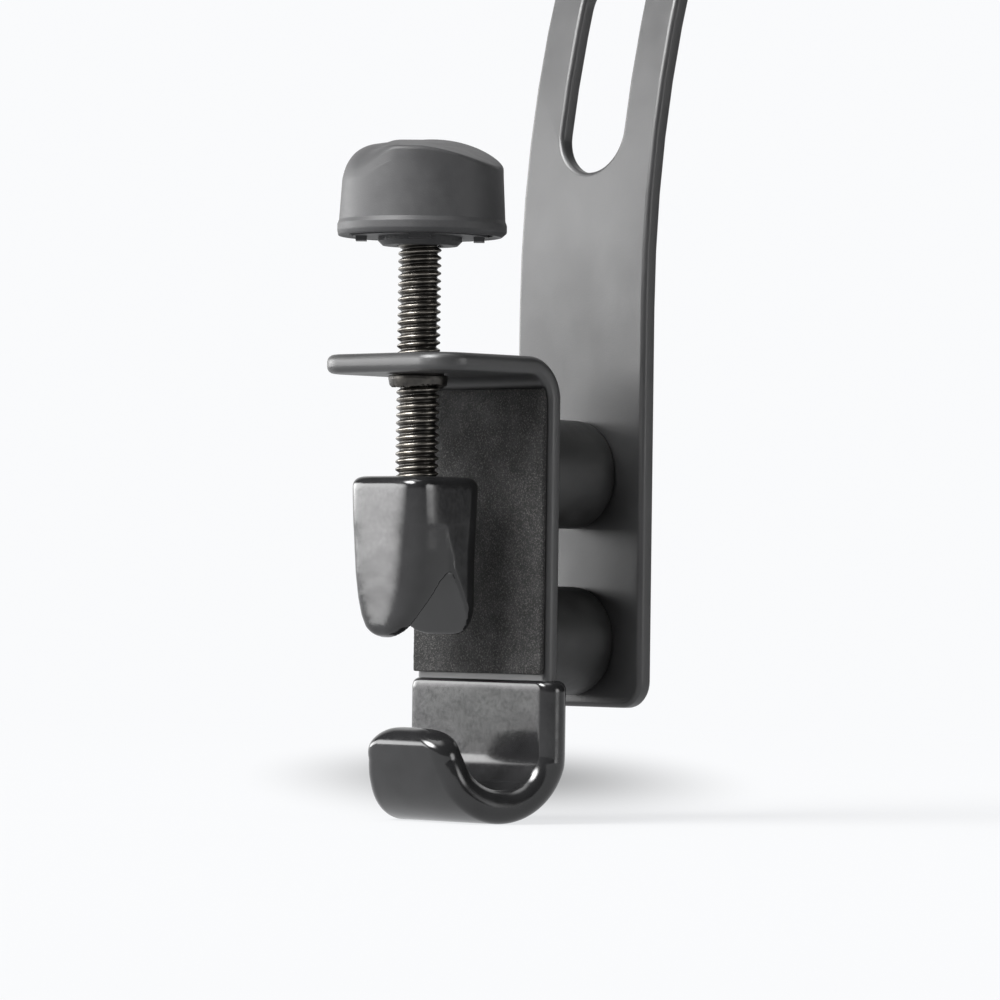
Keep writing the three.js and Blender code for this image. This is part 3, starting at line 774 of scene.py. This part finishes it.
def bore_saddle(saddle):
    """Cuts the hole that the spindle turns in, on the spindle's axis."""
    bm = bmesh.new()
    bmesh.ops.create_cone(bm, cap_ends=True, segments=64, radius1=SADDLE_BORE_RADIUS,
                          radius2=SADDLE_BORE_RADIUS, depth=SADDLE_BORE_LENGTH)
    bmesh.ops.translate(bm, vec=(0, 0, SADDLE_BORE_END + SADDLE_BORE_LENGTH / 2),
                        verts=bm.verts)
    bore = piece_from_bmesh("saddle_bore", bm)
    cut = saddle.modifiers.new("cut", "BOOLEAN")
    cut.operation = "DIFFERENCE"
    cut.solver = "EXACT"
    cut.object = bore
    apply_modifiers(saddle)
    bpy.data.objects.remove(bore)


def build_saddle_coating():
    """A bored block that parts into a tapered tongue in front and a broad heel behind."""
    low, high = node_box("saddle_coating")
    heel = low.z + HEEL_RISE
    block, tongue, back = [], [], []
    for k in range(SADDLE_PARTS + 1):
        z = high.z + (BLOCK_END - high.z) * k / SADDLE_PARTS
        top = corner_inset(high.z - z, SADDLE_TOP_ROUND)
        block.append((z, barrel(SADDLE_HALF - top, -SADDLE_FRONT + top, SADDLE_BACK - top,
                                squareness(z))))
        z = ARMS_START + (low.z - ARMS_START) * k / SADDLE_PARTS
        tip = corner_inset(z - low.z, TONGUE_TIP_ROUND)
        tongue.append((z, barrel(follow(z, TONGUE_HALF), -SADDLE_FRONT + tip, SADDLE_BACK,
                                 squareness(z), cut_far=follow(z, NOTCH_FRONT))))
        z = ARMS_START + (heel - ARMS_START) * k / SADDLE_PARTS
        half = SADDLE_HALF - corner_inset(z - heel, HEEL_CORNER)
        below = max(NOTCH_APEX - z, 0) / (NOTCH_APEX - heel)
        overlap = HEEL_OVERLAP * (1 - smoothstep(-z, 31, -NOTCH_APEX))
        back.append((z, barrel(half, -SADDLE_FRONT, SADDLE_BACK, squareness(z),
                               cut_near=NOTCH_APEX_Y + HEEL_SLOPE_DEPTH * below - overlap)))
    bm = bmesh.new()
    for sections in (block, tongue, back):
        loft(bm, sections)
    saddle = remeshed(piece_from_bmesh("saddle_coating_dipped", bm), 0.25, 10)
    bore_saddle(saddle)
    saddle.data.set_sharp_from_angle(angle=math.radians(50))
    finish_piece(saddle, "pvc_dip", "saddle", "saddle_coating")


# ---------------------------------------------------------------- foam
# Waves per millimetre, and their height in millimetres.
FOAM_WAVES = ((2.2, 0.06), (0.5, 0.05))


def build_foam():
    """Die-cut sheet, with its front and back a little uneven."""
    foam = remeshed(copy_of_node("foam_pad", "foam_pad_skin"), 0.35, 2)
    for vert in foam.data.vertices:
        co = vert.co / MM
        shift = sum(noise.noise(co * waves) * height for waves, height in FOAM_WAVES)
        vert.co += Vector((0, 1, 0)) * shift * MM
    finish_piece(foam, "foam", "bracket", "foam_pad")


# ---------------------------------------------------------------- spindle
SPINDLE_SIDES = 48
ROWS_PER_PITCH = 12
THREAD_END = -25.0
THREAD_FADE = 1.2
CREST_HALF = 0.08
ROOT_FROM = 0.95
NECK_RADIUS = 2.8
NECK_CHAMFER = 0.4
GROOVE_TOP = -35.8
GROOVE_BOTTOM = -36.9
GROOVE_DEPTH = 0.6


def build_spindle():
    """A real helical thread from the saddle's shoulder to the knob, on a grooved neck."""
    low, high = node_box("spindle")
    sides = SPINDLE_SIDES
    steps = int((high.z - THREAD_END) / THREAD_PITCH * ROWS_PER_PITCH)
    bm = bmesh.new()
    rows = []
    for k in range(steps + 1):
        z = THREAD_END + (high.z - THREAD_END) * k / steps
        row = []
        for j in range(sides):
            angle = 2 * math.pi * j / sides
            phase = (z / THREAD_PITCH - angle / (2 * math.pi)) % 1
            depth = THREAD_DEPTH * smoothstep(abs(phase - 0.5) * 2, CREST_HALF, ROOT_FROM)
            fade = min((z - THREAD_END) / THREAD_FADE, (high.z - z) / THREAD_FADE, 1)
            radius = THREAD_RADIUS - THREAD_DEPTH + (THREAD_DEPTH - depth) * max(fade, 0)
            row.append(bm.verts.new((radius * math.cos(angle), radius * math.sin(angle), z)))
        rows.append(row)
    for below, above in zip(rows, rows[1:]):
        for j in range(sides):
            i = (j + 1) % sides
            bm.faces.new((below[j], below[i], above[i], above[j]))
    neck = NECK_RADIUS
    groove = NECK_RADIUS - GROOVE_DEPTH
    ring = rows[0]
    for radius, z in ((neck, THREAD_END), (neck, GROOVE_TOP), (groove, GROOVE_TOP),
                      (groove, GROOVE_BOTTOM), (neck, GROOVE_BOTTOM),
                      (neck, low.z + NECK_CHAMFER), (neck - NECK_CHAMFER, low.z)):
        lower = [bm.verts.new((radius * math.cos(2 * math.pi * j / sides),
                               radius * math.sin(2 * math.pi * j / sides), z))
                 for j in range(sides)]
        for j in range(sides):
            i = (j + 1) % sides
            bm.faces.new((lower[j], lower[i], ring[i], ring[j]))
        ring = lower
    bm.faces.new(list(reversed(ring)))
    bm.faces.new(rows[-1])
    spindle = smooth(piece_from_bmesh("spindle_thread", bm), 50)
    finish_piece(spindle, "black_zinc", "screw", "spindle")


# ---------------------------------------------------------------- knob
KNOB_RIM = 3.3
KNOB_BODY = 15.2
KNOB_SHIFT = 0.33
KNOB_CROWN = 39
KNOB_WALL = 2
KNOB_SIDES = 180
CROWN_TILT = 0.118
CROWN_TWIST = 0.006
CROWN_SAG = 0.0185


def build_knob():
    """The crown falls toward +X -Y and toward +X +Y; the shoulder is a dome toward -X -Y."""
    low, high = node_box("knob_shell")
    radius = (high.x - low.x) / 2
    bottom = low.z
    rim_top = bottom + KNOB_RIM
    inner = KNOB_BODY - KNOB_WALL
    rim = [(inner, bottom + 0.4, 0.2), (radius - 0.6, bottom, 0.5), (radius, bottom + 0.9, 0.7),
           (radius, rim_top - 1.1, 0.5), (KNOB_BODY + 0.05, rim_top - 0.3, 0.6)]
    domed = rounded([
        (0, 36.6, 0), (6, 36.5), (9.2, 35.8), (11.2, 34.4), (12.4, 32.2), (inner, rim_top - 1, 1),
        *rim, (14.75, 32.3), (14.1, 34.7), (12.6, 37), (10.2, 38.4), (6.5, 38.95),
        (0, KNOB_CROWN, 0),
    ], 8, 6)
    tight = rounded([
        (0, 36.6, 0), (6, 36.6), (11.2, 36.4), (12.4, 35.9), (12.8, 35), (inner, rim_top - 1, 1),
        *rim, (14.85, 36), (14.8, 38.5), (14.45, 39), (12.6, 39), (6.5, 39),
        (0, KNOB_CROWN, 0),
    ], 8, 6)
    sides = KNOB_SIDES
    bm = bmesh.new()
    rings = []
    for k in range(sides):
        angle = 2 * math.pi * k / sides
        share = smoothstep(math.cos(angle - math.pi / 4), -0.85, -0.3)
        ring = []
        for a, b in zip(domed, tight):
            reach = a[0] + (b[0] - a[0]) * share
            height = a[1] + (b[1] - a[1]) * share
            shift = KNOB_SHIFT * math.sqrt(0.5) * smoothstep(height, bottom, bottom + 1)
            x = reach * math.cos(angle) + shift
            y = reach * math.sin(angle) + shift
            along = (x + y) * math.sqrt(0.5)
            across = (x - y) * math.sqrt(0.5)
            slope = max(along, 0)
            crown = (CROWN_TILT + CROWN_TWIST * slope) * across + CROWN_SAG * slope * slope
            rise = min(max((height - rim_top) / (KNOB_CROWN - rim_top), 0), 1)
            ring.append(bm.verts.new((x, y, height - rise * crown)))
        rings.append(ring)
    count = len(domed)
    for k, ring in enumerate(rings):
        after = rings[(k + 1) % sides]
        for j in range(count - 1):
            bm.faces.new((ring[j], ring[j + 1], after[j + 1], after[j]))
    bmesh.ops.remove_doubles(bm, verts=bm.verts, dist=1e-4)
    shell = smooth(piece_from_bmesh("knob_cap", bm), 40)
    finish_piece(shell, "knob_plastic", "screw", "knob_shell")


# ---------------------------------------------------------------- spacers and fasteners
SPACER_BORE = 4.3
BUSH_BORE = 4.28
BUSH_NECK = 4.75
BUSH_SEAT = -3.8
CRIMP_HEIGHT = 0.5
CRIMP_ROUGH = 0.7
CRIMP_DEEPEST = 0.3


def build_spacers():
    """Moulded tubes, their ends rounded and their sides slightly full."""
    for place in ("upper", "lower"):
        low, high = node_box(f"spacer_{place}")
        centre = (low + high) / 2
        outer = (high.x - low.x) / 2
        half = (high.y - low.y) / 2
        profile = rounded([
            (SPACER_BORE, -half, 0.2), (outer - 0.1, -half, 1.2), (outer, 0, 0),
            (outer - 0.1, half, 1.2), (SPACER_BORE, half, 0.2),
        ], 0.4, 5)
        spacer = lathe(f"rubber_spacer_{place}", profile, 96, axis="Y", centre=tuple(centre))
        finish_piece(smooth(spacer), "rubber", "bracket", f"spacer_{place}")


def build_bush():
    """The bush's lower edge is crimped, so it is ragged under the top plate."""
    low, high = node_box("thread_bush")
    outer = (high.x - low.x) / 2

    def crimp(point, angle):
        if point.z < low.z + CRIMP_HEIGHT:
            rough = noise.noise(Vector((math.cos(angle) * 3, math.sin(angle) * 3, 2.5)))
            rough += 0.6 * noise.noise(Vector((math.cos(angle) * 9, math.sin(angle) * 9, 7)))
            lift = max(rough * CRIMP_ROUGH, -CRIMP_DEEPEST) + CRIMP_DEEPEST
            return point + Vector((0, 0, lift))
        return point

    profile = rounded([
        (BUSH_BORE, low.z, 0.1), (outer - 0.2, low.z, 0.3), (outer, low.z + 1.6, 0.2),
        (outer, BUSH_SEAT, 0.2), (BUSH_NECK, BUSH_SEAT, 0.1), (BUSH_NECK, high.z, 0.2),
        (BUSH_BORE, high.z, 0.2),
    ], 0.2, 3)
    bush = lathe("crimped_bush", profile, 120, shape=crimp)
    finish_piece(smooth(bush), "black_zinc", "bracket", "thread_bush")


build_clamp_strip()
build_hook_plate()
build_jaw_coating()
build_saddle_coating()
build_foam()
build_spindle()
build_knob()
build_spacers()
build_bush()

SLOT_OF = {row["node"]: row["material_slot"] for row in frame["record"]["subparts"]}
for name, node in frame["nodes"].items():
    node.data.materials.clear()
    node.data.materials.append(FINISHES[SLOT_OF[name]])


# ---------------------------------------------------------------- stage, light and camera
FLOOR_Z = cad_box[0].z
BACKDROP = (0.955, 0.962, 0.975)
FLOOR_LIT = 0.066
FLOOR_SHARE = 0.17
SHADE_OFFSET = (0.02, 0.3)
SHADE_SIZE = (0.062, 0.34)
SHADE_DEPTH = 0.1
SHEET_NEAR = 0.15
SHEET_FAR = 0.7
SHEET_RADIUS = 12
ROOM_LEVEL = 0.04
AWAY_SQUEEZE = 0.05
# Azimuth, elevation, half width, half height, the share of it at full strength, strength.
LIGHTS = (
    (225.5, 0, 58, 58, 0.6, 0.91),
    (-60, 5, 48, 18, 0.55, 9.7),
    (-8, 40, 30, 22, 0.3, 36),
    (20, 78, 32, 32, 0.3, 3.6),
    (114, 4, 18, 18, 0.35, 6),
)
CAMERA_AZIMUTH = 45.53
CAMERA_ELEVATION = -2.43
CAMERA_ROLL = 0.83
CAMERA_DISTANCE = 1.0154
CAMERA_LENS = 199.7
CAMERA_SHIFT = (0.0815, -0.145)


def build_floor():
    """A pale sheet, part lit and part glowing, with a soft oval shade behind the object."""
    bm = bmesh.new()
    bmesh.ops.create_circle(bm, cap_ends=True, radius=SHEET_RADIUS, segments=64)
    bmesh.ops.translate(bm, vec=(0, 0, FLOOR_Z), verts=bm.verts)
    floor = piece_from_bmesh("floor", bm, place=False)
    made = bpy.data.materials.new("floor")
    made.use_nodes = True
    nodes, links = made.node_tree.nodes, made.node_tree.links
    nodes.clear()
    output = nodes.new("ShaderNodeOutputMaterial")
    paper = nodes.new("ShaderNodeBsdfDiffuse")
    paper.inputs["Color"].default_value = (FLOOR_LIT, FLOOR_LIT, FLOOR_LIT, 1)
    near = nodes.new("ShaderNodeEmission")
    far = nodes.new("ShaderNodeEmission")
    far.inputs["Color"].default_value = (*BACKDROP, 1)
    place = nodes.new("ShaderNodeTexCoord")
    turned = nodes.new("ShaderNodeMapping")
    turned.vector_type = "TEXTURE"
    turn = math.radians(CAMERA_AZIMUTH)
    right, back = SHADE_OFFSET
    centre = (DATUM.x + right * math.cos(turn) - back * math.sin(turn),
              DATUM.y + right * math.sin(turn) + back * math.cos(turn), FLOOR_Z)
    turned.inputs["Location"].default_value = centre
    turned.inputs["Rotation"].default_value = (0, 0, turn)
    turned.inputs["Scale"].default_value = (*SHADE_SIZE, 1)
    links.new(place.outputs["Object"], turned.inputs["Vector"])
    oval = nodes.new("ShaderNodeVectorMath")
    oval.operation = "LENGTH"
    links.new(turned.outputs["Vector"], oval.inputs[0])
    shade = nodes.new("ShaderNodeMapRange")
    shade.interpolation_type = "SMOOTHSTEP"
    shade.inputs["To Min"].default_value = SHADE_DEPTH
    shade.inputs["To Max"].default_value = 1.0
    links.new(oval.outputs["Value"], shade.inputs["Value"])
    glow = nodes.new("ShaderNodeMix")
    glow.data_type = "RGBA"
    glow.inputs["A"].default_value = (0, 0, 0, 1)
    glow.inputs["B"].default_value = (*(c - FLOOR_SHARE for c in BACKDROP), 1)
    links.new(shade.outputs["Result"], glow.inputs["Factor"])
    links.new(glow.outputs["Result"], near.inputs["Color"])
    both = nodes.new("ShaderNodeAddShader")
    links.new(paper.outputs["BSDF"], both.inputs[0])
    links.new(near.outputs["Emission"], both.inputs[1])
    distance = nodes.new("ShaderNodeVectorMath")
    distance.operation = "LENGTH"
    links.new(place.outputs["Object"], distance.inputs[0])
    reach = nodes.new("ShaderNodeMapRange")
    reach.interpolation_type = "SMOOTHSTEP"
    reach.inputs["From Min"].default_value = SHEET_NEAR
    reach.inputs["From Max"].default_value = SHEET_FAR
    links.new(distance.outputs["Value"], reach.inputs["Value"])
    mix = nodes.new("ShaderNodeMixShader")
    links.new(reach.outputs["Result"], mix.inputs["Fac"])
    links.new(both.outputs["Shader"], mix.inputs[1])
    links.new(far.outputs["Emission"], mix.inputs[2])
    links.new(mix.outputs["Shader"], output.inputs["Surface"])
    floor.data.materials.append(made)


def soft_lobe(nodes, links, direction, azimuth, elevation, wide, tall, inner, strength):
    """A soft oval light far off, placed by angles as the camera's is; sizes are half angles.

    A direction facing the light keeps only its sideways part. One facing away keeps a long
    part along the light as well, which puts it outside the oval.
    """
    place = nodes.new("ShaderNodeMapping")
    place.vector_type = "TEXTURE"
    place.inputs["Rotation"].default_value = (-math.radians(elevation), 0, math.radians(azimuth))
    place.inputs["Scale"].default_value = (math.sin(math.radians(wide)), AWAY_SQUEEZE,
                                           math.sin(math.radians(tall)))
    links.new(direction, place.inputs["Vector"])
    facing = nodes.new("ShaderNodeVectorMath")
    facing.operation = "MAXIMUM"
    facing.inputs[1].default_value = (-NO_LIMIT, 0, -NO_LIMIT)
    links.new(place.outputs["Vector"], facing.inputs[0])
    off_centre = nodes.new("ShaderNodeVectorMath")
    off_centre.operation = "LENGTH"
    links.new(facing.outputs["Vector"], off_centre.inputs[0])
    level = nodes.new("ShaderNodeMapRange")
    level.interpolation_type = "SMOOTHSTEP"
    level.inputs["From Min"].default_value = inner
    level.inputs["From Max"].default_value = 1.0
    level.inputs["To Min"].default_value = strength
    level.inputs["To Max"].default_value = 0.0
    links.new(off_centre.outputs["Value"], level.inputs["Value"])
    return level.outputs["Result"]


def build_world():
    """Pale behind the object; in reflections and light, a dark room with soft lights in it."""
    world = bpy.data.worlds.new("studio")
    world.use_nodes = True
    nodes, links = world.node_tree.nodes, world.node_tree.links
    nodes.clear()
    output = nodes.new("ShaderNodeOutputWorld")
    seen = nodes.new("ShaderNodeBackground")
    seen.inputs["Color"].default_value = (*BACKDROP, 1)
    seen.inputs["Strength"].default_value = 1.0
    lit = nodes.new("ShaderNodeBackground")
    lit.inputs["Color"].default_value = (1, 1, 1, 1)
    place = nodes.new("ShaderNodeTexCoord")
    direction = place.outputs["Generated"]
    total = None
    for light in LIGHTS:
        level = soft_lobe(nodes, links, direction, *light)
        add = nodes.new("ShaderNodeMath")
        add.operation = "ADD"
        links.new(level, add.inputs[0])
        if total:
            links.new(total, add.inputs[1])
        else:
            add.inputs[1].default_value = ROOM_LEVEL
        total = add.outputs["Value"]
    links.new(total, lit.inputs["Strength"])
    path = nodes.new("ShaderNodeLightPath")
    mix = nodes.new("ShaderNodeMixShader")
    links.new(path.outputs["Is Camera Ray"], mix.inputs["Fac"])
    links.new(lit.outputs["Background"], mix.inputs[1])
    links.new(seen.outputs["Background"], mix.inputs[2])
    links.new(mix.outputs["Shader"], output.inputs["Surface"])
    bpy.context.scene.world = world


def build_camera():
    a, e, r = (math.radians(v) for v in (CAMERA_AZIMUTH, CAMERA_ELEVATION, CAMERA_ROLL))
    back = Vector((math.sin(a) * math.cos(e), -math.cos(a) * math.cos(e), math.sin(e)))
    level = Vector((math.cos(a), math.sin(a), 0))
    rise = back.cross(level)
    right = level * math.cos(r) + rise * math.sin(r)
    up = rise * math.cos(r) - level * math.sin(r)
    data = bpy.data.cameras.new("camera")
    data.lens = CAMERA_LENS
    data.shift_x, data.shift_y = CAMERA_SHIFT
    camera = bpy.data.objects.new("camera", data)
    spot = DATUM + back * CAMERA_DISTANCE
    camera.matrix_world = Matrix((
        (right.x, up.x, back.x, spot.x), (right.y, up.y, back.y, spot.y),
        (right.z, up.z, back.z, spot.z), (0, 0, 0, 1)))
    bpy.context.scene.collection.objects.link(camera)
    bpy.context.scene.camera = camera


build_floor()
build_world()
build_camera()
bpy.context.scene.view_settings.view_transform = "Standard"
